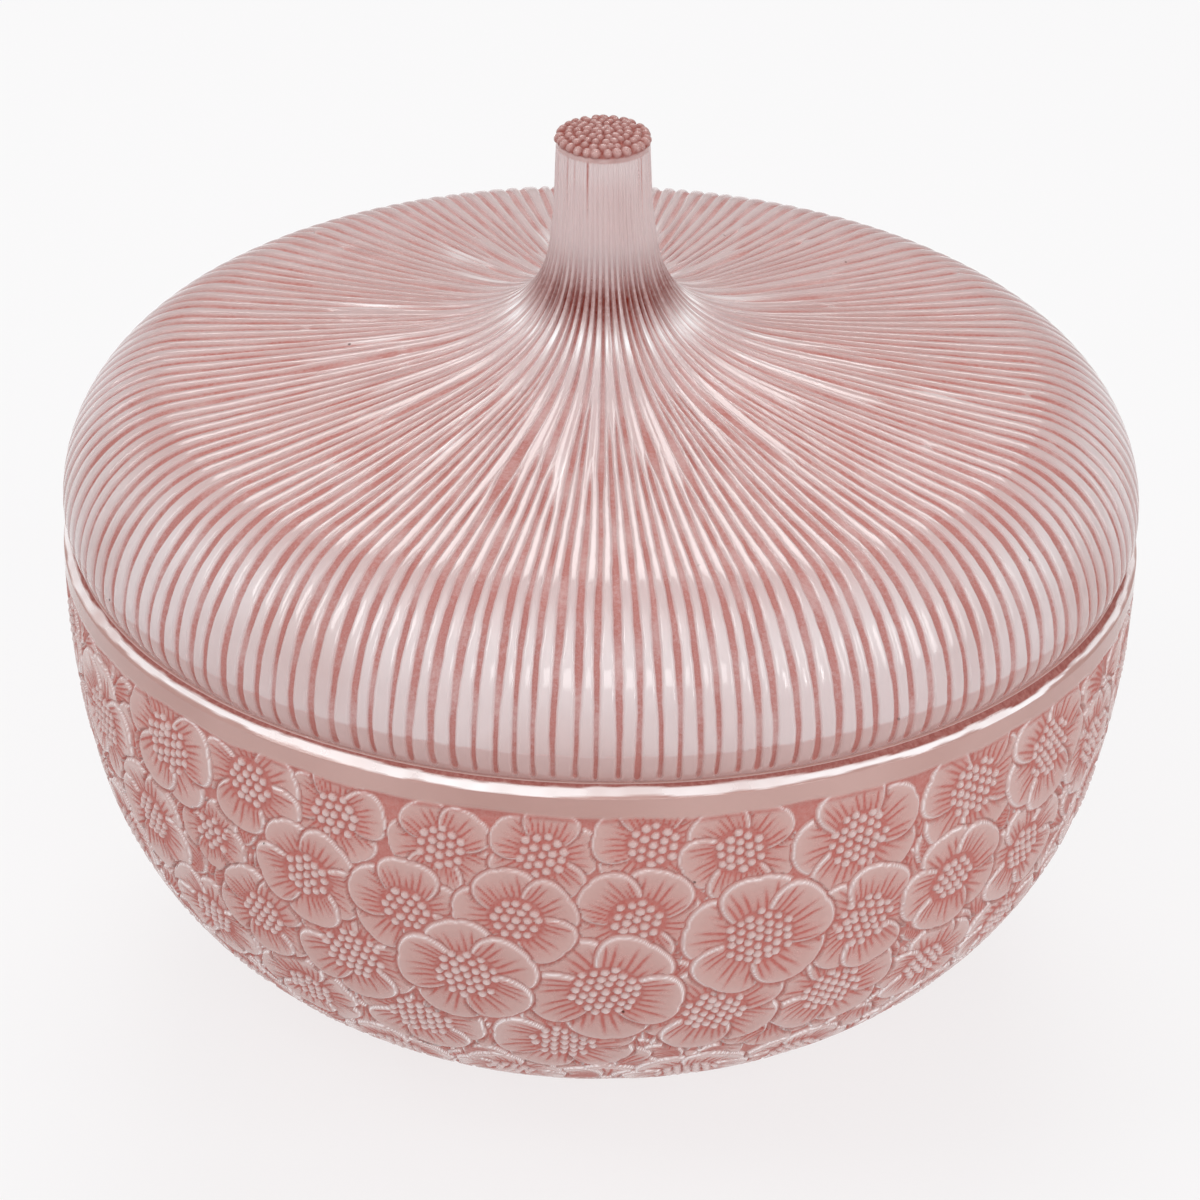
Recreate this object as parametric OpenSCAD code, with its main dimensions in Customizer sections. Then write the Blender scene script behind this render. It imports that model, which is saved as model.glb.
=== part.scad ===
// Covered round candy dish of pressed glass: a footless bowl and a domed lid with a finger stem.
// Millimetres. Z is up, the origin is on the table under the bowl's middle.

/* [Bowl] */
// outside diameter at the rim
rim_d = 150; // [135:1:165]
// height of the rim, where the lid rests
bowl_h = 67; // [62:1:74]
// wall thickness
wall = 4.6; // [3.6:0.1:5.4]
// thickness of the bowl's floor
floor_t = 6.5; // [5:0.5:8]
// radius of the gently barrelled side
side_r = 116; // [105:1:150]
// radius of the turn from the side to the base
corner_r = 50; // [44:1:54]
// depth of the ground hollow under the base
base_hollow = 1.2; // [0.6:0.1:2]

/* [Lid] */
// height of the lid's stem above the rim
stem_top = 59; // [50:1:66]
// diameter of the stem at its top
stem_d = 12.7; // [11:0.1:15]
// radius of the lid's round shoulder
shoulder_r = 18; // [16:0.5:19]
// depth of the ring that centres the lid in the bowl
ring_h = 4; // [3:0.5:6]
// gap between that ring and the bowl, each side
ring_gap = 0.5; // [0.4:0.1:1]

/* [Hidden] */
$fn = 96;
rr = rim_d / 2;
bevel = 1.5;                       // bright ground bevel round the rim
seat_r = rr - 1.8;                 // outer edge of the lid where it rests on the rim
side_top = bowl_h - 3.8;           // where the barrelled side starts to turn in
side_a = 13.6;                     // how far it turns before the corner takes over
ring_r = rr - wall - ring_gap;     // outside of the lid's centring ring
ring_in = ring_r - 2.5;            // inside of it
lid_max = rr - 0.1;                // widest circle of the lid
sh_z = 5;                          // height of that circle above the rim
lip_r = 8;                         // small turn from it down to the rim
rise = (stem_top - 59) / 2;        // a taller stem also draws its foot up

function arc(c, r, a0, a1, n) =
    [for (i = [0:n]) let (a = a0 + (a1 - a0) * i / n) [c[0] + r * cos(a), c[1] + r * sin(a)]];
function bez(p0, p1, p2, p3, n) =
    [for (i = [0:n]) let (t = i / n, s = 1 - t)
        p0 * s * s * s + 3 * p1 * s * s * t + 3 * p2 * s * t * t + p3 * t * t * t];
function cut_first(v) = [for (i = [1:len(v) - 1]) v[i]];
function flip(v) = [for (i = [len(v) - 1:-1:0]) v[i]];

side_c = [rr - side_r, side_top];
side_end = side_c + side_r * [cos(side_a), -sin(side_a)];
corner_c = side_end - corner_r * [cos(side_a), -sin(side_a)];
base_a = asin(corner_c[1] / corner_r);                          // corner meets the table
floor_a = asin((corner_c[1] - floor_t) / (corner_r - wall));    // and the floor, inside
base_out = corner_c[0] + corner_r * cos(base_a);

bowl_outside = concat([[seat_r + 0.3, bowl_h], [rr, bowl_h - bevel]],
    arc(side_c, side_r, 0, -side_a, 8),
    cut_first(arc(corner_c, corner_r, -side_a, -base_a, 14)));
bowl_under = [[base_out - 7, 0], [base_out - 9, base_hollow], [0, base_hollow]];
bowl_inside = concat([[0, floor_t]],
    flip(arc(corner_c, corner_r - wall, -side_a, -floor_a, 14)),
    cut_first(flip(arc(side_c, side_r - wall, 0, -side_a, 8))),
    [[rr - wall, bowl_h]]);

sh_c = [lid_max - shoulder_r, sh_z];
slope_a = 84;
slope0 = sh_c + shoulder_r * [cos(slope_a), sin(slope_a)];
lip_a = asin(sh_z / lip_r);
lid_outside = concat(
    arc([lid_max - lip_r, sh_z], lip_r, -lip_a, 0, 4),
    cut_first(arc(sh_c, shoulder_r, 0, slope_a, 14)),
    cut_first(bez(slope0, slope0 + 14 * [-sin(slope_a), cos(slope_a)],
        [38, 25.2 + rise / 2], [26, 27.2 + rise / 2], 10)),
    cut_first(bez([26, 27.2 + rise / 2], [16, 28.9 + rise / 2],
        [stem_d / 2 + 2.2, 32.5 + rise], [stem_d / 2 + 1, 42.2 + rise], 12)),
    [[stem_d / 2 + 0.35, 48.3 + rise]],
    arc([stem_d / 2 - 0.8, stem_top - 1.4], 0.8, 0, 80, 4),
    arc([0, stem_top - 26], 26, 78, 90, 5));
lid_inside = concat(
    bez([0, 23.2], [20, 23.2], [40, 19.8], [ring_in - 12, 18], 12),
    cut_first(flip(arc([ring_in - 12, 6], 12, 0, 90, 10))),
    [[ring_in, 0.6 - ring_h], [ring_in + 0.6, -ring_h], [ring_r - 0.6, -ring_h],
     [ring_r, 0.6 - ring_h], [ring_r, 0]]);

module bowl() {
    color([0.80, 0.64, 0.61, 0.9])
    rotate_extrude() polygon(concat(bowl_inside, bowl_outside, bowl_under));
}

module lid() {
    color([0.86, 0.72, 0.70, 0.9])
    translate([0, 0, bowl_h])
    rotate_extrude() polygon(concat(lid_inside, lid_outside));
}

bowl();
lid();
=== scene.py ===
import math

import bpy
import numpy as np
from mathutils import Matrix, Vector


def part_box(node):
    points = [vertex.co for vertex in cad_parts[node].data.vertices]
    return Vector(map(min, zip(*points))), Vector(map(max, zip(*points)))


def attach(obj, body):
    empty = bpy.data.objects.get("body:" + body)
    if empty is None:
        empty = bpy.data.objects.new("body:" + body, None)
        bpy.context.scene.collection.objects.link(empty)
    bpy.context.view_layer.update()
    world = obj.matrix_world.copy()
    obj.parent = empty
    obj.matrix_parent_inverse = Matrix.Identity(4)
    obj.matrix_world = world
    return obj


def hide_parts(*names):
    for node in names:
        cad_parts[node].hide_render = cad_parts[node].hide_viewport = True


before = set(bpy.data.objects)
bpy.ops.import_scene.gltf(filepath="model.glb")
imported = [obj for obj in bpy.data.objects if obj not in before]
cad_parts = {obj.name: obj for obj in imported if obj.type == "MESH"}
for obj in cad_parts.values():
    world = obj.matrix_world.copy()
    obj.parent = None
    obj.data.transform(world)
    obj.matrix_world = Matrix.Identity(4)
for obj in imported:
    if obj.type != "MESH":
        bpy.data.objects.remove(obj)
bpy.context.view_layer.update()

MM = 0.001
FULL = 2 * np.pi
FRONT = -np.pi / 2            # the side that faces the camera
rng = np.random.default_rng(11)

# Everything below is in millimetres until a mesh is built.
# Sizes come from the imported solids: rim radius, seat height, lid height above the seat.
bowl_lo, bowl_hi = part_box("bowl")
lid_lo, lid_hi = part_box("lid")
RIM = (bowl_hi.x - bowl_lo.x) / 2 / MM
SEAT = bowl_hi.z / MM
KNOB = lid_hi.z / MM - SEAT
WALL = 4.6                    # thickness of the bowl's wall


# ---------- outlines ----------

def arc(c, r, a0, a1, n):
    a = np.radians(np.linspace(a0, a1, n))
    return np.c_[c[0] + r * np.cos(a), c[1] + r * np.sin(a)]


def bez(p0, p1, p2, p3, n):
    t = np.linspace(0, 1, n)[:, None]
    p0, p1, p2, p3 = (np.array(p, float) for p in (p0, p1, p2, p3))
    return p0 * (1 - t) ** 3 + 3 * p1 * t * (1 - t) ** 2 + 3 * p2 * t * t * (1 - t) + p3 * t**3


def line(p0, p1, n):
    t = np.linspace(0, 1, n)[:, None]
    return np.array(p0, float) * (1 - t) + np.array(p1, float) * t


def joined(*runs):
    p = np.vstack(runs)
    keep = np.r_[True, np.hypot(*np.diff(p, axis=0).T) > 1e-6]
    return p[keep]


class Outline:
    """A path in the (radius, height) plane, read by its length."""

    def __init__(self, p, smooth=0.0):
        d = np.r_[0, np.cumsum(np.hypot(*np.diff(p, axis=0).T))]
        self.length = d[-1]
        self.s = np.linspace(0, self.length, int(self.length / 0.05) + 2)
        r, z = np.interp(self.s, d, p[:, 0]), np.interp(self.s, d, p[:, 1])
        if smooth:
            k = np.arange(-60, 61) * 0.05
            k = np.exp(-0.5 * (k / smooth) ** 2)
            k /= k.sum()
            pad = 60
            rr = np.convolve(np.pad(r, pad, "reflect", reflect_type="odd"), k, "valid")
            zz = np.convolve(np.pad(z, pad, "reflect", reflect_type="odd"), k, "valid")
            r, z = rr, zz
        self.r, self.z = r, z
        tr, tz = np.gradient(r, self.s), np.gradient(z, self.s)
        n = np.hypot(tr, tz)
        self.nr, self.nz = -tz / n, tr / n     # outward, on a path that runs from the top down

    def at(self, s):
        return np.interp(s, self.s, self.r), np.interp(s, self.s, self.z)

    def normal(self, s):
        nr, nz = np.interp(s, self.s, self.nr), np.interp(s, self.s, self.nz)
        n = np.hypot(nr, nz)
        return nr / n, nz / n

    def where_r(self, r, after=0.0):
        m = self.s >= after
        return self.s[m][np.argmin(np.abs(self.r[m] - r))]

    def where_z(self, z, after=0.0):
        m = self.s >= after
        return self.s[m][np.argmin(np.abs(self.z[m] - z))]


def smooth(a, b, x):
    t = np.clip((x - a) / (b - a), 0, 1)
    return t * t * (3 - 2 * t)


def bell(x, c, w):
    return np.exp(-(((x - c) / w) ** 2))


def wobble(s, count, waves, seed):
    """count slow random curves along s, about -1 to 1."""
    g = np.random.default_rng(seed)
    out = np.zeros((len(s), count))
    for w in waves:
        out += np.sin(2 * np.pi * s[:, None] / (w * g.uniform(0.8, 1.25, count)) + g.uniform(0, 6.28, count))
    return out / math.sqrt(len(waves)) / 1.1


def drift(count, around, sizes, seed):
    """A random line round a circle of that length, about -1 to 1, with features of those sizes."""
    g = np.random.default_rng(seed)
    f = np.fft.rfftfreq(count, around / count)
    out = np.zeros(count)
    for size in sizes:
        one = np.fft.irfft(np.fft.rfft(g.normal(0, 1, count)) * np.exp(-((f * size) ** 2) * 3), count)
        out += one / one.std()
    return out / math.sqrt(len(sizes)) / 1.6


# ---------- meshes ----------

class Skin:
    """One closed surface through rings of points. Neighbouring rings have as many points, or three to one.

    Each point carries stain, dark, pale and tone, which the material reads.
    """

    def __init__(self):
        self.co, self.values, self.faces3, self.faces4 = [], {}, [], []
        self.count, self.last = 0, None

    def add(self, co, **values):
        n = len(co)
        at = self.count
        self.co.append(co)
        for k in ("stain", "dark", "pale", "tone"):
            v = values.get(k, 0.0)
            self.values.setdefault(k, []).append(np.broadcast_to(np.asarray(v, float), (n,)))
        self.count += n
        if self.last is not None:
            self.bridge(self.last, (at, n))
        self.last = (at, n)

    def bridge(self, a, b):
        (a0, na), (b0, nb) = a, b
        if na == 1:
            k = np.arange(nb)
            self.faces3.append(np.c_[np.full(nb, a0), b0 + (k + 1) % nb, b0 + k])
        elif nb == 1:
            k = np.arange(na)
            self.faces3.append(np.c_[a0 + k, a0 + (k + 1) % na, np.full(na, b0)])
        elif na == nb:
            k = np.arange(na)
            j = (k + 1) % na
            self.faces4.append(np.c_[a0 + k, a0 + j, b0 + j, b0 + k])
        elif na == 3 * nb:
            k = np.arange(nb)
            j = (k + 1) % nb
            f = [a0 + (3 * k + i) % na for i in range(4)]
            self.faces3.append(np.c_[f[0], f[1], b0 + k])
            self.faces4.append(np.c_[f[1], f[2], b0 + j, b0 + k])
            self.faces3.append(np.c_[f[2], f[3], b0 + j])
        elif nb == 3 * na:
            k = np.arange(na)
            j = (k + 1) % na
            f = [b0 + (3 * k + i) % nb for i in range(4)]
            self.faces3.append(np.c_[a0 + k, f[1], f[0]])
            self.faces4.append(np.c_[a0 + k, a0 + j, f[2], f[1]])
            self.faces3.append(np.c_[a0 + j, f[3], f[2]])
        else:
            raise ValueError((na, nb))

    def build(self, name):
        co = np.vstack(self.co) * MM
        t, q = np.vstack(self.faces3), np.vstack(self.faces4)
        v = np.einsum("ij,ij->i", co[t[:, 0]], np.cross(co[t[:, 1]], co[t[:, 2]])).sum()
        for a, b, c in ((0, 1, 2), (0, 2, 3)):
            v += np.einsum("ij,ij->i", co[q[:, a]], np.cross(co[q[:, b]], co[q[:, c]])).sum()
        if v < 0:
            t, q = t[:, ::-1], q[:, ::-1]
        me = bpy.data.meshes.new(name)
        me.vertices.add(len(co))
        me.vertices.foreach_set("co", co.ravel())
        loops = np.r_[t.ravel(), q.ravel()].astype(np.int32)
        starts = np.r_[np.arange(len(t)) * 3, len(t) * 3 + np.arange(len(q)) * 4].astype(np.int32)
        me.loops.add(len(loops))
        me.loops.foreach_set("vertex_index", loops)
        me.polygons.add(len(starts))
        me.polygons.foreach_set("loop_start", starts)
        me.update(calc_edges=True)
        me.validate()
        me.polygons.foreach_set("use_smooth", np.ones(len(me.polygons), bool))
        for k, v in self.values.items():
            data = me.attributes.new(k, "FLOAT", "POINT").data
            data.foreach_set("value", np.concatenate(v).astype(np.float32))
        ob = bpy.data.objects.new(name, me)
        bpy.context.scene.collection.objects.link(ob)
        return ob


def ring(r, z, theta):
    r = np.broadcast_to(r, theta.shape)
    z = np.broadcast_to(z, theta.shape)
    return np.c_[r * np.cos(theta), r * np.sin(theta), z]


# ---------- the lid ----------

LEAN = 0.55                   # how far the stem's tip leans
lid_max, lip_r, sh_r, sh_z = RIM - 0.1, 8.0, 18.0, 5.0
stem_r = 6.35
sh_c = (lid_max - sh_r, sh_z)
sh_turn = 84                  # degrees that the shoulder turns through, up to the slope
slope_x, slope_y = math.cos(math.radians(sh_turn)), math.sin(math.radians(sh_turn))
slope0 = (sh_c[0] + sh_r * slope_x, sh_c[1] + sh_r * slope_y)
slope1 = (slope0[0] - 14 * slope_y, slope0[1] + 14 * slope_x)
lip_a = math.degrees(math.asin(sh_z / lip_r))

lid_side = Outline(joined(
    line((stem_r, KNOB - 1.4), (stem_r + 0.35, 48.3), 20),
    bez((stem_r + 0.35, 48.3), (stem_r + 0.5, 46.5), (stem_r + 0.72, 44.6), (stem_r + 1, 42.2), 12),
    bez((26, 27.2), (16, 28.9), (8.55, 32.5), (7.35, 42.2), 80)[::-1],
    bez(slope0, slope1, (38, 25.2), (26, 27.2), 80)[::-1],
    arc(sh_c, sh_r, 0, sh_turn, 80)[::-1],
    arc((lid_max - lip_r, sh_z), lip_r, -lip_a, 0, 20)[::-1],
), smooth=0.5)
L_END = lid_side.length

# Where each groove lies: long ones run up the stem as flutes, and one or two shorter ones
# start between each pair.
gaps, turned = [], 0.0
while turned < 360:
    pitch = 2.38 - 0.33 * math.cos(2 * math.radians(turned)) + rng.normal(0, 0.05)
    shorter = int(rng.choice([1, 2, 2]))
    gaps.append([shorter, (shorter + 1) * pitch * rng.uniform(0.93, 1.07)])
    turned += gaps[-1][1]
scale_gap = 360 / sum(g[1] for g in gaps)
base, slot_w, first, is_long = [], [], [], []
turned = -90.0
for shorter, span in gaps:
    span *= scale_gap
    w = span / (shorter + 1)
    base.append(turned + rng.normal(0, 0.04) * w)
    slot_w.append(w)
    first.append(-5.0)
    is_long.append(1.0)
    for k in range(shorter):
        base.append(turned + (k + 1) * w + rng.normal(0, 0.045) * w)
        slot_w.append(w)
        first.append(lid_side.where_r(rng.uniform(12.5, 27) if shorter == 1 else rng.uniform(17, 40)))
        is_long.append(0.0)
    turned += span
base, slot_w = np.radians(base), np.radians(slot_w)
first, is_long = np.array(first), np.array(is_long)
N = len(base)

s_neck, s_flare = lid_side.where_z(35.5), lid_side.where_r(15)
s_mid, s_slope = lid_side.where_r(25), lid_side.where_r(42)
s_shoulder = lid_side.where_r(sh_c[0] + sh_r * 0.62, after=s_slope)
s_wall = L_END - 10.0
s_line = lid_side.where_z(4.7, after=s_slope)      # a faint mould line just above the seat
# Rings of points down the lid, closer where the relief is finer.
rows = np.r_[
    np.arange(1.5, s_neck - 6, 0.8),
    np.arange(s_neck - 6, s_flare + 6, 0.45),
    np.arange(s_flare + 6, s_shoulder - 8, 0.6),
    np.arange(s_shoulder - 8, s_line - 0.5, 0.5),
    s_line - 0.30, s_line - 0.15, s_line - 0.05, s_line + 0.05, s_line + 0.15, s_line + 0.30,
    np.arange(s_line + 0.6, L_END - 3.2, 0.5),
    np.arange(L_END - 3.2, L_END - 0.35, 0.17),
    L_END - 0.22, L_END - 0.08,
]
M = len(rows)
key = [0, s_neck - 8, s_neck, s_flare, s_mid, s_slope, s_shoulder - 6, s_shoulder + 2, s_wall, L_END]
width = np.interp(rows, key, [0.62, 0.62, 0.60, 0.52, 0.53, 0.54, 0.52, 0.50, 0.37, 0.34])
depth = np.interp(rows, key, [0.10, 0.12, 0.55, 0.46, 0.42, 0.44, 0.48, 0.55, 0.42, 0.36])

# How far each groove is there at each row: it starts, runs out at the seat, and is broken or worn in places.
started = smooth(0, 1, (rows[:, None] - first[None, :]) / rng.uniform(3, 12, N)[None, :])
alone = 1 - 0.5 * (np.roll(started, 1, 1) + np.roll(started, -1, 1))
stops = L_END - rng.uniform(0.25, 0.75, N)
run_out = np.sqrt(np.clip((stops[None, :] - rows[:, None]) / 0.6, 0, 1))
breaks = np.ones((M, N))
for i in rng.choice(N, N // 9, replace=False):
    amount = rng.uniform(0.5, 1.0)
    breaks[:, i] *= 1 - amount * bell(rows, rng.uniform(s_mid, s_shoulder), rng.uniform(0.5, 1.6))
worn = np.zeros((M, N))
for i in rng.choice(N, N // 8, replace=False):
    amount = rng.uniform(0.6, 1.0)
    worn[:, i] = amount * bell(rows, rng.uniform(s_flare + 3, s_slope + 6), rng.uniform(2.5, 6)) ** 0.6
breaks *= 1 - 0.85 * worn
half = 0.5 * width[:, None] * slot_w[None, :] * (1 + 1.35 * alone * is_long[None, :])
hand = smooth(s_neck - 5, s_neck + 4, rows)[:, None]      # the flutes on the stem run straight
half *= 1 + 0.12 * wobble(rows, N, (40, 19), 3) + 0.035 * hand * wobble(rows, N, (5.1, 2.7), 4)
half *= rng.uniform(0.86, 1.14, N)[None, :]
present = started * run_out * breaks
half = half * np.clip(0.25 + 0.75 * present, 0, 1) * np.minimum(1, 0.02 + present * 4)
half = np.maximum(half, 0.004 * slot_w)
centre = base[None, :] + 0.05 * slot_w[None, :] * wobble(rows, N, (70, 33), 5)
centre = centre + 0.010 * hand * slot_w * wobble(rows, N, (9, 4.5), 6)
deep = depth[:, None] * present * (1 + 0.15 * wobble(rows, N, (20, 9), 7))

# Neighbours that would meet are narrowed, so that a rib always stands between them.
left, right = centre - half, centre + half
room = left - np.roll(right, 1, 1)
room[:, 0] += FULL
half -= np.clip(0.16 * slot_w[None, :] - room, 0, None) * 0.5
left, right = centre - half, centre + half
rib = np.roll(left, -1, 1) - right
rib[:, -1] += FULL
rib_before = np.roll(rib, 1, 1)

r_row, z_row = lid_side.at(rows)
n_r, n_z = lid_side.normal(rows)
# Columns follow the grooves, and fall is how far each point lies under the outline.
edge = np.minimum(0.16 / r_row[:, None], 0.28 * np.minimum(rib, rib_before))
foot = np.minimum(0.22 / r_row[:, None], 0.5 * half)
K = 12            # columns for each groove: rib, wall, floor, wall, rib
theta = np.zeros((M, N, K))
theta[:, :, 0] = left - 0.5 * rib_before
theta[:, :, 1] = left - edge - 0.35 * np.maximum(0.5 * rib_before - edge, 0)
theta[:, :, 2] = left - edge
theta[:, :, 3] = left
theta[:, :, 4] = left + foot
theta[:, :, 5] = centre - 0.38 * half
theta[:, :, 6] = centre
theta[:, :, 7] = centre + 0.38 * half
theta[:, :, 8] = right - foot
theta[:, :, 9] = right
theta[:, :, 10] = right + edge
theta[:, :, 11] = right + edge + 0.35 * np.maximum(0.5 * rib - edge, 0)
crown = np.interp(rows, key, [0.02, 0.03, 0.05, 0.05, 0.04, 0.04, 0.05, 0.06, 0.03, 0.02])
fall = np.zeros((M, N, K))
fall[:, :, [1, 11]] = 0.45 * crown[:, None, None]
fall[:, :, [2, 10]] = crown[:, None, None]
fall[:, :, [3, 9]] = np.minimum(0.14, 0.3 * deep)[:, :, None] + crown[:, None, None]
fall[:, :, [4, 8]] = (0.86 * deep + crown[:, None])[:, :, None]
fall[:, :, [5, 7]] = (0.98 * deep + crown[:, None])[:, :, None]
fall[:, :, 6] = deep * (1 + 0.06 * wobble(rows, N, (2.3, 1.4), 8)) + crown[:, None]
# Stain in the grooves, brown round the neck, worn bright edges, painted highlights on the ribs below the
# flare, paler ribs round the shoulder, and a film over the slope.
stain = np.zeros((M, N, K))
shade = np.array([0, 0, 0, 0.22, 0.95, 1, 1, 1, 0.95, 0.22, 0, 0])
along = np.interp(rows, key, [0.06, 0.06, 1.0, 0.72, 0.85, 0.90, 0.95, 1.0, 1.0, 1.0])
filled = along[:, None] * np.clip(present * 1.6, 0, 1) * (1 + 0.16 * wobble(rows, N, (25, 11), 9))
streak = is_long * (rng.uniform(0, 1, N) < 0.3) * rng.uniform(0.4, 1.0, N)      # runs of stain down the stem
reach = rng.uniform(2.5, 7.0, N)
filled += streak[None, :] * np.clip(1.2 - np.abs(rows[:, None] - 3.0) / reach[None, :], 0, 1)
# Less stain on the far side below the flare: painted light, so that this side reads lighter.
filled *= 1 - 0.20 * np.clip(-np.cos(base - FRONT), 0, 1) * smooth(s_flare, s_mid, rows)[:, None]
stain[:] = shade[None, None, :] * filled[:, :, None]
side = np.abs(np.sin(base - FRONT))       # 1 at the left and right
facing = np.cos(base - FRONT - 0.25)      # 1 at the front, a little to the right
browned = np.clip(rng.normal(0.85, 0.28, N) + 0.35 * facing, 0.15, 1.0)
near_neck = bell(rows, s_neck - 1.6, 3.5)[:, None] * browned[None, :]
dark = (0.80 + 0.20 * shade)[None, None, :] * near_neck[:, :, None]
# Painted highlights: some ribs just below the flare are whitened, where the solid stem throws light through
# the glass.
glint = bell(rows, lid_side.where_r(12.4), 2.2)[:, None] * np.clip(rng.normal(0.45, 0.55, N), 0, 1)[None, :]
pale = (1 - shade * 0.8)[None, None, :] * np.maximum(glint, 0.60 * worn)[:, :, None]
pale = np.maximum(pale, (0.30 * bell(rows, s_shoulder + 4, 6))[:, None, None] * (1 - shade)[None, None, :])
film_key = [0, s_neck - 8, s_neck + 1, s_flare, s_mid, s_slope, s_shoulder - 5, s_shoulder + 3, L_END]
film = np.interp(rows, film_key, [0.25, 0.2, 0.35, 0.25, 0.56, 0.64, 0.46, 0.0, 0.0])
# The film is heavier at the left and right and lighter at the front and back. This paints the lamps'
# reflection on the ribs that face front and back.
film = film[:, None] * (0.50 + 0.62 * side)[None, :]
low_wall = np.interp(rows, [0, s_line - 0.2, s_line + 0.2, L_END], [0, 0, 0.66, 0.85])
tone = np.broadcast_to(np.maximum(film, low_wall[:, None])[:, :, None], (M, N, K))
seen_line = np.clip(wobble(base * RIM, 1, (9, 5, 2.3), 12)[:, 0] + 0.55, 0, 1)
scratch = bell(rows, s_line, 0.13)[:, None] * seen_line[None, :]
stain = np.maximum(stain, 0.45 * scratch[:, :, None] * (1 - shade)[None, None, :])
fall = fall + 0.05 * scratch[:, :, None]

lid_skin = Skin()

# The stem's end: a low dome packed with round beads.
cap_path = Outline(joined(
    line((0, KNOB - 0.72), (0.4, KNOB - 0.72), 4),
    arc((0, KNOB - 26.72), 26, 78, 90, 20)[::-1][1:],
    arc((stem_r - 0.92, KNOB - 2.2), 0.9, 0, 76, 14)[::-1],
    line((stem_r - 0.02, KNOB - 2.2), (stem_r + 0.01, KNOB - 2.75), 6),
), smooth=0.12)
beads = []
bead_rings = (          # radius, number of beads, size
    (0.0, 1, 0.66), (1.25, 6, 0.66), (2.5, 12, 0.64), (3.72, 18, 0.62), (4.9, 24, 0.62), (6.2, 27, 0.74))
for radius, number, size in bead_rings:
    start = rng.uniform(0, 6.28)
    for k in range(number):
        beads.append((radius + rng.normal(0, 0.07), start + FULL * k / number + rng.normal(0, 0.035),
                      size * rng.uniform(0.88, 1.12)))
cap_rows = np.arange(0.12, cap_path.length - 0.1, 0.13)
cap_theta = np.unwrap(theta[0].reshape(-1)[::3])
lid_skin.add(np.array([[0, 0, KNOB - 0.19]]), stain=0.2, dark=0.2)
for s in cap_rows:
    r, z = cap_path.at(s)
    nr, nz = cap_path.normal(s)
    lift = np.zeros(len(cap_theta))
    for br, bt, size in beads:
        if abs(br - s) > 1.1 * size:
            continue
        d = (cap_theta - bt + np.pi) % FULL - np.pi
        far = np.sqrt((s - br) ** 2 + (0.5 * (s + br) * d) ** 2 + 1e-9) / size
        lift = np.maximum(lift, np.sqrt(np.clip(1 - far**2, 0, 1)))
    # lift is 1 on a bead's crown and 0 in the gaps
    h = 0.56 * lift * smooth(0, 0.25, lift + 0.12)
    stained = 0.15 + 0.85 * smooth(7.1, 6.8, s)
    lid_skin.add(ring(r + nr * h * 0.9, z + nz * h, cap_theta), tone=0.9,
                 stain=(0.30 + 0.6 * (1 - lift) ** 0.7) * stained,
                 dark=(0.02 + 0.75 * (1 - lift) ** 0.8) * stained)
for i in range(M):
    f = fall[i].reshape(-1)
    lid_skin.add(ring(r_row[i] - n_r[i] * f, z_row[i] - n_z[i] * f, theta[i].reshape(-1)),
                 stain=stain[i].reshape(-1), dark=dark[i].reshape(-1),
                 pale=pale[i].reshape(-1), tone=tone[i].reshape(-1))

# Its underside: the flat seat, the centring ring, then the smooth hollow.
gap, ring_h, ring_t = 0.5, 4.0, 2.5
ring_out = RIM - WALL - gap
ring_in = ring_out - ring_t
seat_edge = RIM - 1.8
low_t = np.unwrap(theta[-1].reshape(-1)[::3])
under = Outline(joined(
    line((ring_out + 0.25, 0), (ring_out, 0), 3),
    line((ring_out, -0.25), (ring_out, 0.6 - ring_h), 8),
    arc((ring_out - 0.6, 0.6 - ring_h), 0.6, -90, 0, 8)[::-1],
    arc((ring_in + 0.6, 0.6 - ring_h), 0.6, 180, 270, 8)[::-1],
    line((ring_in, 0.6 - ring_h), (ring_in, 6), 12),
    arc((ring_in - 12, 6), 12, 0, 90, 40),
    bez((0, 23.2), (20, 23.2), (40, 19.8), (ring_in - 12, 18), 60)[::-1],
), smooth=0.12)
lid_skin.add(ring(seat_edge - 0.12, 0.0, theta[-1].reshape(-1)), tone=0.8)
lid_skin.add(ring(seat_edge - 0.3, 0.0, low_t), tone=0.8)
for s in np.r_[np.arange(0.0, 10, 0.35), np.arange(10, under.length - 0.6, 1.1)]:
    r, z = under.at(s)
    lid_skin.add(ring(r, z, low_t), tone=0.5)
lid_skin.add(np.array([[0, 0, 23.2]]), tone=0.5)
for block in lid_skin.co:
    block[:, 0] -= LEAN * smooth(28, KNOB, block[:, 2])
    block[:, 2] += SEAT
lid = lid_skin.build("lid_glass")
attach(lid, "lid")
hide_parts("lid")


# ---------- the bowl ----------

floor_t, side_r, side_a, corner_r, hollow, bevel = 6.5, 116.0, 13.6, 50.0, 1.2, 1.5
side_c = np.array([RIM - side_r, SEAT - 3.8])
turn = np.array([math.cos(math.radians(side_a)), -math.sin(math.radians(side_a))])
corner_c = side_c + side_r * turn - corner_r * turn
base_a = math.degrees(math.asin(corner_c[1] / corner_r))
floor_a = math.degrees(math.asin((corner_c[1] - floor_t) / (corner_r - WALL)))
base_out = corner_c[0] + corner_r * math.cos(math.radians(base_a))
floor_turn = np.array([math.cos(math.radians(floor_a)), -math.sin(math.radians(floor_a))])

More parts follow.
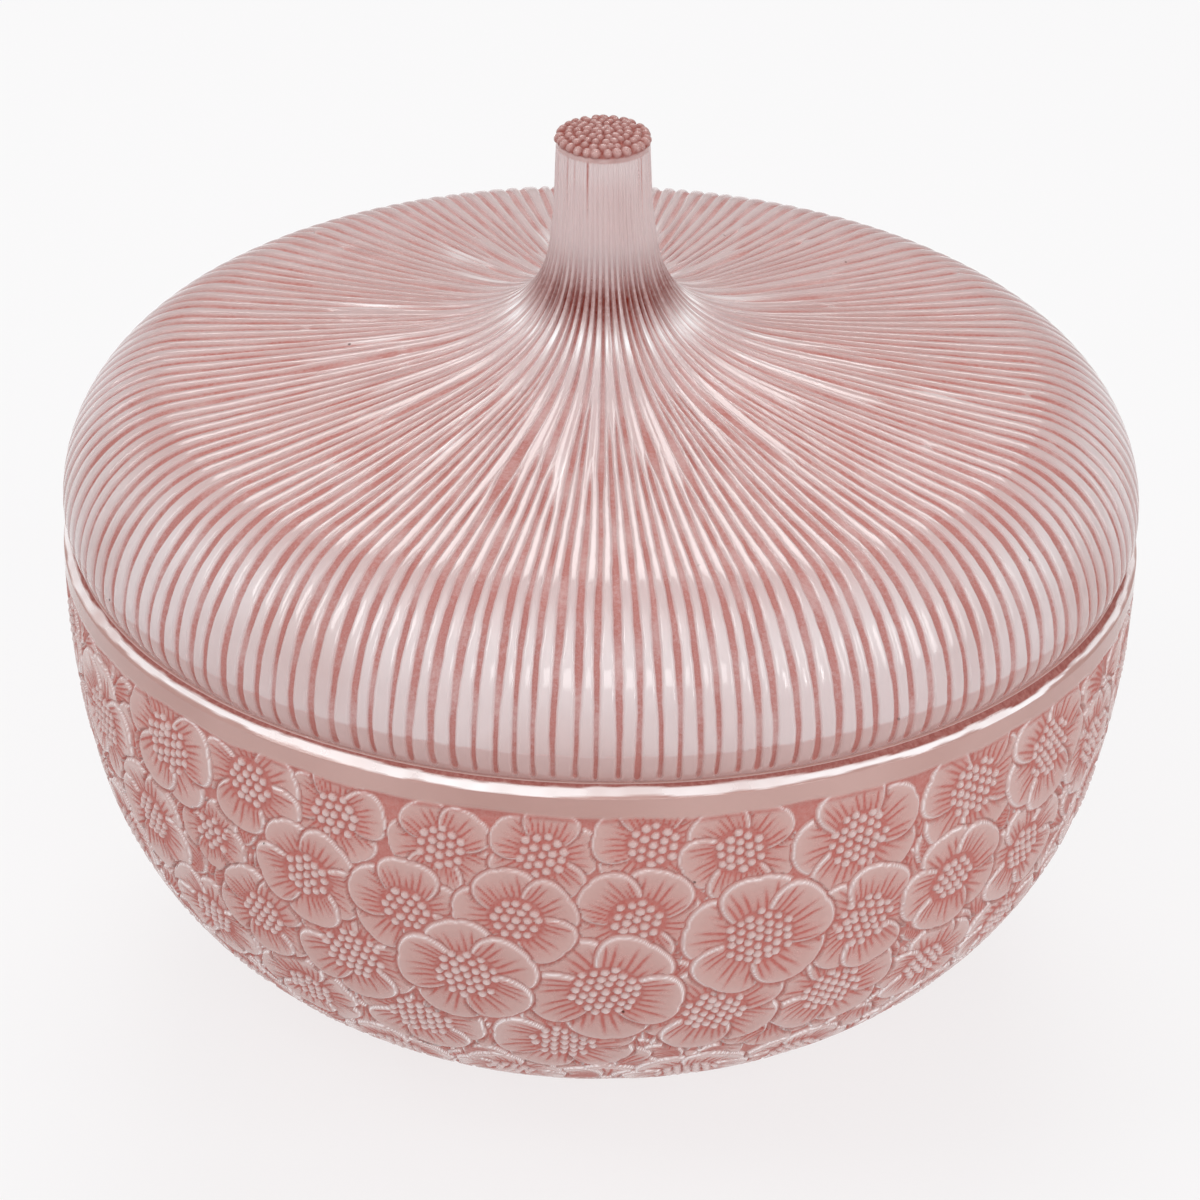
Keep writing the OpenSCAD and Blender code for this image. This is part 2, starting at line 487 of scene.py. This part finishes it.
inside = Outline(joined(
    line((0.5, floor_t), corner_c + (corner_r - WALL) * floor_turn, 60),
    arc(corner_c, corner_r - WALL, -floor_a, -side_a, 60),
    arc(side_c, side_r - WALL, -side_a, 0, 40),
    line((RIM - WALL, SEAT - 3.8), (RIM - WALL, SEAT - 0.4), 8),
    arc((RIM - WALL + 0.4, SEAT - 0.4), 0.4, 90, 180, 6)[::-1],
))
outside = Outline(joined(
    line((RIM, SEAT - bevel), (RIM, SEAT - 3.8), 6),
    arc(side_c, side_r, -side_a, 0, 60)[::-1],
    arc(corner_c, corner_r, -base_a, -side_a, 80)[::-1],
))
B_END = outside.length
AROUND = FULL * RIM
COLS = 1920
b_theta = np.linspace(0, FULL, COLS, endpoint=False)
TOP_EDGE = 2.6     # relief starts this far below the bevel
FOOT = B_END - 1.6
b_rows = np.r_[0.0, 0.12, 0.45, 0.85, np.arange(TOP_EDGE - 1.5, FOOT + 0.8, 0.25),
               B_END - 0.5, B_END - 0.2, B_END]
GROUND = 0.58      # depth of the relief's ground
BOSS = 0.50        # and of the ground under a flower's beads
height = np.full((len(b_rows), COLS), -GROUND)
b_stain = np.full((len(b_rows), COLS), 0.85)
b_pale = np.zeros((len(b_rows), COLS))
rr_out, zz_out = outside.at(b_rows)


# Flowers that face the front, as (degrees round from the front, mm below the bevel, radius, turn).
flowers = [
    (-27, 8.8, 6.4, 10), (-15.5, 10.1, 6.3, 40), (-5.2, 9.6, 6.4, 5), (5.8, 7.8, 6.8, 20),
    (14.6, 9.8, 6.9, 52), (27.5, 11.2, 8.0, 30), (42.0, 9.6, 8.0, 8), (54.5, 10.4, 8.2, 60),
    (-37.5, 8.6, 7.4, 33), (-50, 9.4, 7.8, 12), (-20, 43.6, 7.8, 0), (-3.2, 45.6, 8.2, 30),
    (27.5, 38.6, 8.0, 12), (13.6, 38.5, 8.4, 40), (-26.5, 32.4, 7.8, 58), (4.4, 20.0, 7.4, 64),
    (29.6, 25.8, 7.8, 3), (41, 24.0, 7.6, 45), (1.4, 33.2, 9.2, 55), (-31, 20.4, 7.2, 50),
    (-19.6, 21.6, 7.0, 15), (-7.9, 20.6, 7.2, 36), (-13.5, 31.8, 8.2, 25), (17.4, 24.8, 9.0, 22),
]
placed = [[math.radians(a - 90), s - 0.6, r * 1.20, math.radians(t)] for a, s, r, t in flowers]


def spread(a, b):
    """How far apart two flowers are on the surface, in mm."""
    ra = float(np.interp((a[1] + b[1]) / 2, b_rows, rr_out))
    d = (a[0] - b[0] + np.pi) % FULL - np.pi
    return math.hypot(d * ra, a[1] - b[1])


def sow(need, tries, low, high):
    """Add seeded flowers of radius low to high wherever they stand far enough from the others."""
    for _ in range(tries):
        s = rng.uniform(6.6, FOOT - 3)
        if rng.uniform() > float(np.interp(s, b_rows, rr_out)) / RIM:
            continue
        f = [rng.uniform(0, FULL), s, rng.uniform(low, high), rng.uniform(0, FULL)]
        if all(spread(f, g) > need * (f[2] + g[2]) / 15.2 for g in placed):
            placed.append(f)


for need in (13.4, 12.6, 12.0, 11.4):
    sow(need, 2600, 7.8, 9.6)
sow(12.4, 5000, 5.6, 7.0)
whole = len(placed)          # the rest lie under these and only show between them
sow(7.8, 7000, 7.2, 8.4)
order = np.r_[whole + rng.permutation(len(placed) - whole),
              len(flowers) + rng.permutation(whole - len(flowers)), np.arange(len(flowers))]


def flower(x, y, radius, turn, g, beaded):
    """Height, stain and paleness of one blossom over local points, and which of them it covers."""
    rho = np.hypot(x, y) / radius
    ang = np.arctan2(y, x) - turn
    h = np.full(x.shape, -GROUND)
    st = np.full(x.shape, 0.9)
    pl = np.zeros(x.shape)
    cover = np.zeros(x.shape, bool)
    for k in g.permutation(5):
        d = (ang - FULL * k / 5 - g.normal(0, 0.07) + np.pi) % FULL - np.pi
        a, b = rho * np.cos(d), rho * np.sin(d)
        reach, wide = g.uniform(0.44, 0.49), g.uniform(0.49, 0.56)
        u = (a - 0.55) / reach
        e = np.sqrt(u**2 + (b / (wide * (1 + 0.20 * np.clip(u, -1, 1)))) ** 2)
        notch = 0.04 * bell(b, 0, 0.05) * smooth(0.4, 0.9, u)
        e += 0.03 * np.sin(3 * np.arctan2(b, a - 0.55) + g.uniform(0, 6.28)) + notch
        e[a < 0.02] = 9
        moat = e < 1.035
        body = e < 1.0
        fan = b / (0.22 + 0.78 * np.clip(a, 0, 1))
        count, phase = g.uniform(5.2, 6.6), g.uniform(0, 6.28)
        vein = (0.5 + 0.5 * np.cos(2 * np.pi * fan * count + phase + 1.2 * np.sin(5 * a))) ** 3
        reachy = 0.70 + 0.22 * np.sin(17 * fan + 3 * k) * np.sin(7 * fan + k)
        stroke = vein * smooth(reachy + 0.14, reachy - 0.16, a) * smooth(0.93, 0.80, e)
        rise = smooth(1.0, 0.85, e)
        cup = smooth(0.86, 0.30, e)
        inner = smooth(0.90, 0.74, e)
        top = -0.05 - 0.28 * cup * (1.2 - 0.6 * a) + 0.04 * bell(e, 0.88, 0.05) - 0.10 * stroke
        ph = -GROUND + (top + GROUND) * rise
        ps = 0.06 + inner * (0.14 + 0.42 * smooth(0.95, 0.3, a)) + 0.8 * stroke
        ps = np.where(e > 0.94, 0.04 + 0.9 * smooth(0.94, 1.0, e), ps)
        h = np.where(body, ph, np.where(moat & ~body, -GROUND * 0.97, h))
        st = np.where(body, ps, np.where(moat & ~body, 0.9, st))
        # Each petal's crest is pale: partly bare glass where the stain is worn off, partly a painted
        # highlight.
        crest_wear_and_highlight = 0.72 * bell(e, 0.91, 0.026) + 0.06 * smooth(0.55, 0.86, e) * (e < 0.93)
        crest_wear_and_highlight = crest_wear_and_highlight * (1 - stroke)
        pl = np.where(body, crest_wear_and_highlight, np.where(moat & ~body, 0, pl))
        cover |= moat
    if not beaded:
        return h, st, pl, cover
    # the boss of beads
    core = 0.45 * radius
    rim = smooth(core + 0.35, core - 0.25, rho * radius)
    h = h * (1 - rim) + rim * np.maximum(-BOSS, h * 0.3 - 0.38)
    st = st * (1 - rim) + rim * 0.95
    pl *= 1 - rim
    cover |= rho * radius < core
    step = 1.5
    spin = g.uniform(0, 1.05)
    for i in range(-4, 5):
        for j in range(-4, 5):
            bx, by = step * (i + 0.5 * j), step * 0.866 * j
            if math.hypot(bx, by) > core - 0.2:
                continue
            bx, by = bx * math.cos(spin) - by * math.sin(spin), bx * math.sin(spin) + by * math.cos(spin)
            bx, by = bx + g.normal(0, 0.10), by + g.normal(0, 0.10)
            size = 0.60 * g.uniform(0.9, 1.1)
            far = np.hypot(x - bx, y - by) / size
            dome = np.sqrt(np.clip(1 - far**2, 0, 1))
            on = far < 1
            h = np.where(on, np.maximum(h, -BOSS + 0.56 * dome), h)
            st = np.where(on, 0.02 + 0.8 * smooth(0.78, 1.0, far), st)
            # Each bead is whitened towards its crown: a painted highlight.
            pl = np.where(on, 0.32 * smooth(0.2, 0.8, dome), pl)
    return h, st, pl, cover


for i in order:
    th0, s0, radius, turn_f = placed[i]
    lo_r, hi_r = np.searchsorted(b_rows, [s0 - 1.2 * radius, s0 + 1.2 * radius])
    rl = rr_out[lo_r:hi_r]
    span = 1.25 * radius / max(rl.min(), 20)
    c0, c1 = int((th0 - span) / FULL * COLS), int((th0 + span) / FULL * COLS) + 1
    idx = np.arange(c0, c1)
    x = rl[:, None] * (idx[None, :] * 2 * np.pi / COLS - th0)
    y = np.repeat(b_rows[lo_r:hi_r, None] - s0, len(idx), 1)
    h, st, pl, cover = flower(x, -y, radius, turn_f, np.random.default_rng(1000 + int(i)), i < whole)
    at = np.ix_(np.arange(lo_r, hi_r), idx % COLS)
    height[at] = np.where(cover, h, height[at])
    b_stain[at] = np.where(cover, st, b_stain[at])
    b_pale[at] = np.where(cover, pl, b_pale[at])

# The plain band above the relief and the ground foot below it stand at full height.
line_at = TOP_EDGE + 0.28 * drift(COLS, AROUND, (14, 5), 23)
band = smooth(1.45, -0.45, b_rows[:, None] - line_at[None, :])
band = np.maximum(band, smooth(FOOT - 0.2, FOOT + 0.5, b_rows)[:, None])
height = height * (1 - band)
plain_glass = smooth(0.55, 0.95, band)
b_stain = np.maximum(b_stain, 0.8 * bell(band, 0.45, 0.4)) * (1 - plain_glass) + 0.06 * plain_glass
b_pale = b_pale * (1 - plain_glass)
from_front = (b_theta - FRONT + np.pi) % FULL - np.pi
calm = bell(from_front, -0.07, 0.35)[None, :] * smooth(34, 14, b_rows)[:, None]      # flatter relief at the front
# The petals' pale crests, partly painted highlight, are weaker at the front and stronger low down, where the
# floor lights the relief.
b_pale = b_pale * (1 - 0.38 * calm + 0.30 * smooth(26, 42, b_rows)[:, None])
height = height * (1 - 0.18 * calm)
cloudy = drift(COLS, AROUND, (45, 16), 24)
b_tone = np.clip(band * (b_rows < 20)[:, None], 0, 1) * np.clip(0.80 + 0.22 * cloudy, 0, 1)
b_tone = b_tone + 0.45 * (1 - band)

bowl_skin = Skin()
c_theta = b_theta[::3]
bowl_skin.add(np.array([[0, 0, floor_t]]), tone=0.5)
in_s = np.r_[np.arange(1.0, inside.length - 4, 1.2), np.arange(inside.length - 4, inside.length - 0.7, 0.5),
             inside.length - 0.6, inside.length - 0.4, inside.length - 0.2, inside.length]
for s in in_s:
    r, z = inside.at(s)
    bowl_skin.add(ring(r, z, c_theta), tone=0.5)
rim_in = RIM - WALL + 0.4
for r in (rim_in + 0.6, rim_in + 2.0, seat_edge + 0.3 - 0.1):
    bowl_skin.add(ring(r, SEAT, c_theta), tone=0.6)
bowl_skin.add(ring(seat_edge + 0.3, SEAT, b_theta), tone=0.4, pale=0.4)
chip = drift(COLS, AROUND, (22, 7, 2.5), 21)
chip2 = drift(COLS, AROUND, (26, 9, 3.5), 22)
# The ground bevel: dark red along its top, next to the lid, and worn bright in the middle. The dark line
# reaches further down on the front's right.
reddest = 0.16 * bell(from_front, 0.95, 0.5)
for t in (0.02, 0.08, 0.16, 0.26, 0.38, 0.50, 0.62, 0.74, 0.84, 0.94):
    top_line = smooth(0.40 + 0.14 * chip + reddest, 0.26 + 0.14 * chip + reddest, t)
    low_line = smooth(0.78 + 0.16 * chip2, 0.90 + 0.16 * chip2, t)
    bright = (1 - top_line) * (1 - low_line)
    dent = 0.012 * np.clip(chip + 0.2, 0, 1) * math.sin(math.pi * t)
    bowl_skin.add(ring(seat_edge + 0.34 + t * 1.44 - dent, SEAT - 0.04 - t * (bevel - 0.06) - dent, b_theta),
                  tone=0.15 + 0.75 * low_line, pale=(0.84 + 0.25 * chip) * bright,
                  stain=0.85 * top_line, dark=0.65 * top_line)
nr_b, nz_b = outside.normal(b_rows)
for i in range(len(b_rows)):
    h = height[i]
    bowl_skin.add(ring(rr_out[i] + nr_b[i] * h, zz_out[i] + nz_b[i] * h, b_theta),
                  stain=b_stain[i], pale=b_pale[i], tone=b_tone[i])
bowl_skin.add(ring(base_out - 0.3, 0.0, b_theta), tone=0.5)
bowl_skin.add(ring(base_out - 1.0, 0.0, c_theta), tone=0.5)
for r, z in ((base_out - 4, 0), (base_out - 6.8, 0), (base_out - 7, 0.03), (base_out - 7.4, 0.25),
             (base_out - 8.6, 1.05), (base_out - 9.2, hollow), (base_out - 14, hollow),
             (12, hollow), (4, hollow)):
    bowl_skin.add(ring(r, z, c_theta), tone=0.5)
bowl_skin.add(np.array([[0, 0, hollow]]), tone=0.5)
bowl = bowl_skin.build("bowl_glass")
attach(bowl, "bowl")
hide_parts("bowl")


# ---------- materials ----------

def lin(r, g, b):
    """A display colour, 0 to 255, as the linear one that a shader takes."""
    def one(c):
        c /= 255
        return c / 12.92 if c <= 0.04045 else ((c + 0.055) / 1.055) ** 2.4
    return (one(r), one(g), one(b), 1.0)


GLASS_IOR = 1.5
BARE_ROUGH = 0.06        # roughness of bare, polished glass
LIGHT_THROUGH = 0.7      # how much light passes to what lies in shadow
PIT = (0.06, 0.02, 0.015, 1.0)


class Nodes:
    """A material's node tree, with a short call for each kind of node that's used here."""

    def __init__(self, name):
        self.m = bpy.data.materials.new(name)
        self.m.use_nodes = True
        self.t = self.m.node_tree
        self.t.nodes.clear()
        self.out = self.t.nodes.new("ShaderNodeOutputMaterial")

    def new(self, kind, **sets):
        n = self.t.nodes.new(kind)
        for k, v in sets.items():
            setattr(n, k, v)
        return n

    def link(self, a, b):
        self.t.links.new(a, b)

    def put(self, sock, v):
        if isinstance(v, bpy.types.NodeSocket):
            self.link(v, sock)
        else:
            sock.default_value = v

    def value(self, name):
        return self.new("ShaderNodeAttribute", attribute_name=name).outputs["Fac"]

    def math(self, op, a, b=0.0, clamp=False):
        n = self.new("ShaderNodeMath", operation=op, use_clamp=clamp)
        self.put(n.inputs[0], a)
        self.put(n.inputs[1], b)
        return n.outputs[0]

    def noise(self, scale, detail=2.0, rough=0.5):
        co = self.new("ShaderNodeTexCoord").outputs["Object"]
        n = self.new("ShaderNodeTexNoise")
        n.inputs["Scale"].default_value = scale
        n.inputs["Detail"].default_value = detail
        n.inputs["Roughness"].default_value = rough
        self.link(co, n.inputs["Vector"])
        return n.outputs["Fac"]

    def span(self, v, a, b, c=0.0, d=1.0):
        n = self.new("ShaderNodeMapRange", clamp=True)
        self.put(n.inputs["Value"], v)
        for k, x in zip(("From Min", "From Max", "To Min", "To Max"), (a, b, c, d)):
            n.inputs[k].default_value = x
        return n.outputs["Result"]

    def mix(self, f, a, b):
        n = self.new("ShaderNodeMix", data_type="RGBA")
        self.put(n.inputs[0], f)
        self.put(n.inputs[6], a)
        self.put(n.inputs[7], b)
        return n.outputs[2]


def glass(name, clear, beige, rose, deep, white, tint, film_most, clarity, pale_rough=0.0):
    """Rose-stained pressed glass: polished where it's bare, matt and granular where it's stained.

    clear, beige, rose, deep and white are the bare glass, the thin film, the stain, its darkest, and the
    worn edges and painted highlights. tint colours what's seen through it, clarity is how much of that shows.
    """
    g = Nodes(name)
    stain, dark, pale, tone = (g.value(k) for k in ("stain", "dark", "pale", "tone"))
    cloud = g.noise(90, 3)
    film = g.span(g.noise(26, 2, 0.6), 0.44, 0.66, 0.0, film_most)
    speck = g.new("ShaderNodeTexVoronoi")
    speck.inputs["Scale"].default_value = 230
    g.link(g.new("ShaderNodeTexCoord").outputs["Object"], speck.inputs["Vector"])
    rare = g.new("ShaderNodeSeparateColor")
    g.link(speck.outputs["Color"], rare.inputs[0])
    pit = g.math("MULTIPLY", g.span(speck.outputs["Distance"], 0.04, 0.06, 0.9, 0.0),
                 g.span(rare.outputs[0], 0.92, 0.93))
    fine = g.noise(1500, 4, 0.6)
    grit = g.noise(4200, 3, 0.7)
    stain = g.math("MULTIPLY", stain, g.span(fine, 0.25, 0.75, 0.80, 1.12), clamp=True)
    tone = g.math("MULTIPLY", tone, g.span(cloud, 0.3, 0.7, 0.85, 1.0))
    c = g.mix(g.math("MAXIMUM", tone, film), clear, beige)
    c = g.mix(g.math("MULTIPLY", stain, g.span(grit, 0.2, 0.8, 0.72, 1.0)), c, rose)
    c = g.mix(g.math("MULTIPLY", dark, g.span(fine, 0.3, 0.7, 0.6, 1.0)), c, deep)
    c = g.mix(pale, c, white)
    c = g.mix(pit, c, PIT)
    rough = g.math("ADD", g.span(stain, 0.15, 0.8, BARE_ROUGH, 0.55), g.span(fine, 0.4, 0.7, 0.0, 0.05))
    rough = g.math("ADD", rough, g.span(pale, 0.45, 0.8, 0.0, pale_rough), clamp=True)
    peel = g.new("ShaderNodeBump")
    peel.inputs["Strength"].default_value = 0.14
    peel.inputs["Distance"].default_value = 0.0004
    g.link(g.noise(260, 2), peel.inputs["Height"])
    bump = g.new("ShaderNodeBump")
    bump.inputs["Strength"].default_value = 0.55
    bump.inputs["Distance"].default_value = 0.00012
    grain = g.math("MULTIPLY", g.math("ADD", grit, fine), g.span(stain, 0.1, 0.8, 0.06, 1.0))
    g.link(grain, bump.inputs["Height"])
    g.link(peel.outputs[0], bump.inputs["Normal"])
    p = g.new("ShaderNodeBsdfPrincipled")
    g.link(c, p.inputs["Base Color"])
    g.link(rough, p.inputs["Roughness"])
    p.inputs["IOR"].default_value = GLASS_IOR
    covered = g.math("MAXIMUM", stain, dark)
    g.link(g.span(covered, 0.2, 0.8, 0.5, 0.10), p.inputs["Specular IOR Level"])
    g.link(bump.outputs[0], p.inputs["Normal"])
    b = g.new("ShaderNodeBsdfPrincipled")
    b.inputs["Base Color"].default_value = tint
    b.inputs["Transmission Weight"].default_value = 1.0
    b.inputs["IOR"].default_value = GLASS_IOR
    g.link(rough, b.inputs["Roughness"])
    g.link(bump.outputs[0], b.inputs["Normal"])
    body = g.new("ShaderNodeMixShader")
    opaque = g.math("MAXIMUM", covered, g.math("MULTIPLY", pale, 0.8))
    g.link(g.math("MULTIPLY", g.math("SUBTRACT", 1.0, opaque, clamp=True), clarity), body.inputs[0])
    g.link(p.outputs[0], body.inputs[1])
    g.link(b.outputs[0], body.inputs[2])
    lets = g.new("ShaderNodeBsdfTransparent")       # light that passes, so that shadows are soft
    lets.inputs["Color"].default_value = (0.93, 0.80, 0.79, 1)
    lp = g.new("ShaderNodeLightPath")
    last = g.new("ShaderNodeMixShader")
    g.link(g.math("MULTIPLY", lp.outputs["Is Shadow Ray"], LIGHT_THROUGH), last.inputs[0])
    g.link(body.outputs[0], last.inputs[1])
    g.link(lets.outputs[0], last.inputs[2])
    g.link(last.outputs[0], g.out.inputs["Surface"])
    return g.m


lid_mat = glass("lid_rose_glass", clear=lin(230, 219, 220), beige=lin(192, 152, 145), rose=lin(170, 99, 91),
                deep=lin(124, 38, 20), white=lin(248, 247, 248), tint=lin(252, 249, 249),
                film_most=0.55, clarity=0.42)
bowl_mat = glass("bowl_rose_glass", clear=lin(224, 194, 188), beige=lin(189, 151, 143), rose=lin(176, 86, 78),
                 deep=lin(112, 48, 38), white=lin(253, 250, 251), tint=lin(250, 240, 238),
                 film_most=0.4, clarity=0.30, pale_rough=0.30)
lid.data.materials.append(lid_mat)
bowl.data.materials.append(bowl_mat)

# ---------- stage, lights and camera ----------

def plain(name, grey, glow, strength):
    g = Nodes(name)
    p = g.new("ShaderNodeBsdfPrincipled")
    p.inputs["Emission Color"].default_value = glow
    p.inputs["Emission Strength"].default_value = strength
    p.inputs["Base Color"].default_value = (grey, grey, grey, 1)
    p.inputs["Roughness"].default_value = 0.6
    g.link(p.outputs[0], g.out.inputs["Surface"])
    return g.m


me = bpy.data.meshes.new("floor")
me.from_pydata([(-6, -6, 0), (6, -6, 0), (6, 6, 0), (-6, 6, 0)], [], [(0, 1, 2, 3)])
floor = bpy.data.objects.new("floor", me)
bpy.context.scene.collection.objects.link(floor)
floor.data.materials.append(plain("floor_white", 0.12, (0.80, 0.795, 0.80, 1), 0.945))

world = bpy.data.worlds.new("studio")
bpy.context.scene.world = world
world.use_nodes = True
sky = world.node_tree
light_sky = sky.nodes["Background"]           # what lights the dish, and the whiter one that's seen behind it
white_sky = sky.nodes.new("ShaderNodeBackground")
seen = sky.nodes.new("ShaderNodeLightPath")
pick = sky.nodes.new("ShaderNodeMixShader")
for n, strength in ((light_sky, 0.46), (white_sky, 0.90)):
    n.inputs["Color"].default_value = (1, 0.995, 0.99, 1)
    n.inputs["Strength"].default_value = strength
sky.links.new(seen.outputs["Is Camera Ray"], pick.inputs[0])
sky.links.new(light_sky.outputs[0], pick.inputs[1])
sky.links.new(white_sky.outputs[0], pick.inputs[2])
sky.links.new(pick.outputs[0], sky.nodes["World Output"].inputs["Surface"])


def lamp(name, loc, target, size, power):
    d = bpy.data.lights.new(name, "AREA")
    d.shape, d.size, d.size_y = "RECTANGLE", size[0], size[1]
    d.energy = power
    o = bpy.data.objects.new(name, d)
    bpy.context.scene.collection.objects.link(o)
    o.location = loc
    o.rotation_mode = "QUATERNION"
    o.rotation_quaternion = (Vector(target) - Vector(loc)).to_track_quat("-Z", "Y")


lamp("key_over", (-0.15, -0.30, 1.1), (0, 0, 0.06), (0.9, 0.7), 2.1)
lamp("back_over", (0.0, 0.95, 1.0), (0, 0, 0.06), (1.0, 0.5), 6.4)
lamp("side_left", (-0.85, -0.3, 1.0), (0, 0, 0.06), (0.4, 0.6), 4.2)
lamp("side_right", (0.95, -0.4, 0.52), (0, 0, 0.06), (0.22, 0.6), 2.0)
lamp("front_fill", (0.1, -1.1, 0.8), (0, 0, 0.05), (0.9, 0.35), 4.0)
lamp("glint", (0.62, -0.72, 0.42), (0, 0, 0.06), (0.10, 0.22), 0.6)

# The camera's place is in radii of the seat. It looks down by pitch, and rolls a little.
SENSOR, FOCAL = 36.0, 5060 / 1200        # focal length in widths of the frame
R = (RIM - 1.8) * MM
pitch = math.radians(28.935)
roll = math.radians(1.0)
cam_data = bpy.data.cameras.new("camera")
cam_data.sensor_width = SENSOR
cam_data.lens = SENSOR * FOCAL
cam = bpy.data.objects.new("camera", cam_data)
bpy.context.scene.collection.objects.link(cam)
cam.location = (0.0001, -8.566 * R, SEAT * MM + 4.546 * R)
right = Vector((1, 0, 0))
ahead = Vector((0, math.cos(pitch), -math.sin(pitch)))
up = right.cross(ahead)
r2 = right * math.cos(roll) + up * math.sin(roll)
u2 = -right * math.sin(roll) + up * math.cos(roll)
cam.rotation_mode = "QUATERNION"
cam.rotation_quaternion = Matrix((r2, u2, -ahead)).transposed().to_quaternion()
bpy.context.scene.camera = cam
bpy.context.scene.view_settings.view_transform = "Standard"
